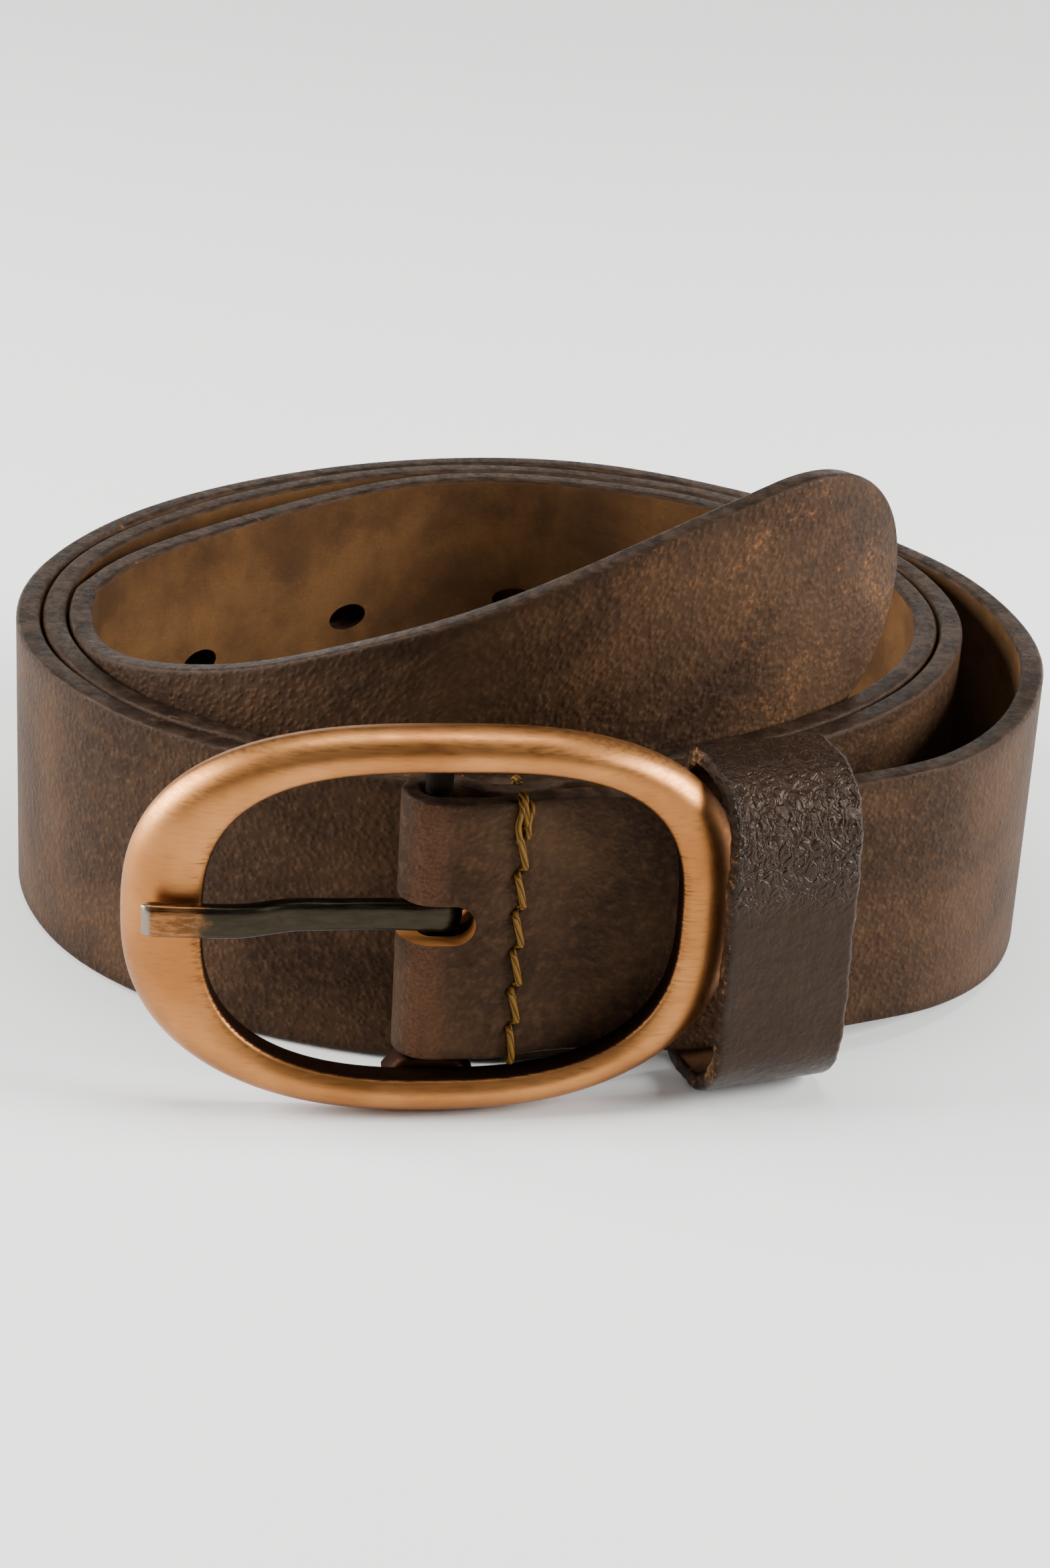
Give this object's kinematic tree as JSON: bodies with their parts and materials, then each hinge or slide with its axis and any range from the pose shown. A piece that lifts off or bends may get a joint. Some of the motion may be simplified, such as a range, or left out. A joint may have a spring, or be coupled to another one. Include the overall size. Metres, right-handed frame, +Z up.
{
  "type": "leather belt",
  "caption": "Rolled leather strap belt with an oval centre-bar buckle, hinged prong, sliding keeper loop and a rounded tip.",
  "frame": {"origin": "on the ground, under the middle of the rolled belt's overall box", "axes": "+Z up along the strap's width, -Y towards the buckle's face, +X along the strap as it leaves the fold"},
  "size_m": [0.1416, 0.141, 0.0731],
  "materials": {
    "strap_leather": "waxed full-grain, satin",
    "keeper_leather": "waxed, glossy creases",
    "copper": "antique copper plate, brushed",
    "bronze": "dark patina, worn at the tip",
    "thread": "waxed polyester thread"
  },
  "bodies": {
    "belt": {"strap": "strap_leather", "fold_thread_front": "thread", "fold_thread_back": "thread"},
    "buckle": {"buckle_frame": "copper", "centre_bar": "copper"},
    "prong": {"prong": "bronze"},
    "keeper": {"keeper_loop": "keeper_leather", "keeper_thread": "thread"}
  },
  "joints": [
    {"name": "buckle_swivel", "type": "hinge", "parent": "belt", "child": "buckle", "pos_m": [-0.00986, -0.05878, 0.0264], "axis": [0, 0, 1], "range_deg": [-2.5, 0]},
    {"name": "prong_swing", "type": "hinge", "parent": "buckle", "child": "prong", "pos_m": [-0.00986, -0.05878, 0.0264], "axis": [0, 0, 1], "range_deg": [0, 90]},
    {"name": "keeper_slide", "type": "slide", "parent": "belt", "child": "keeper", "axis": [0.9254, 0.3789, 0], "range_m": [-0.0005, 0.004]}
  ]
}
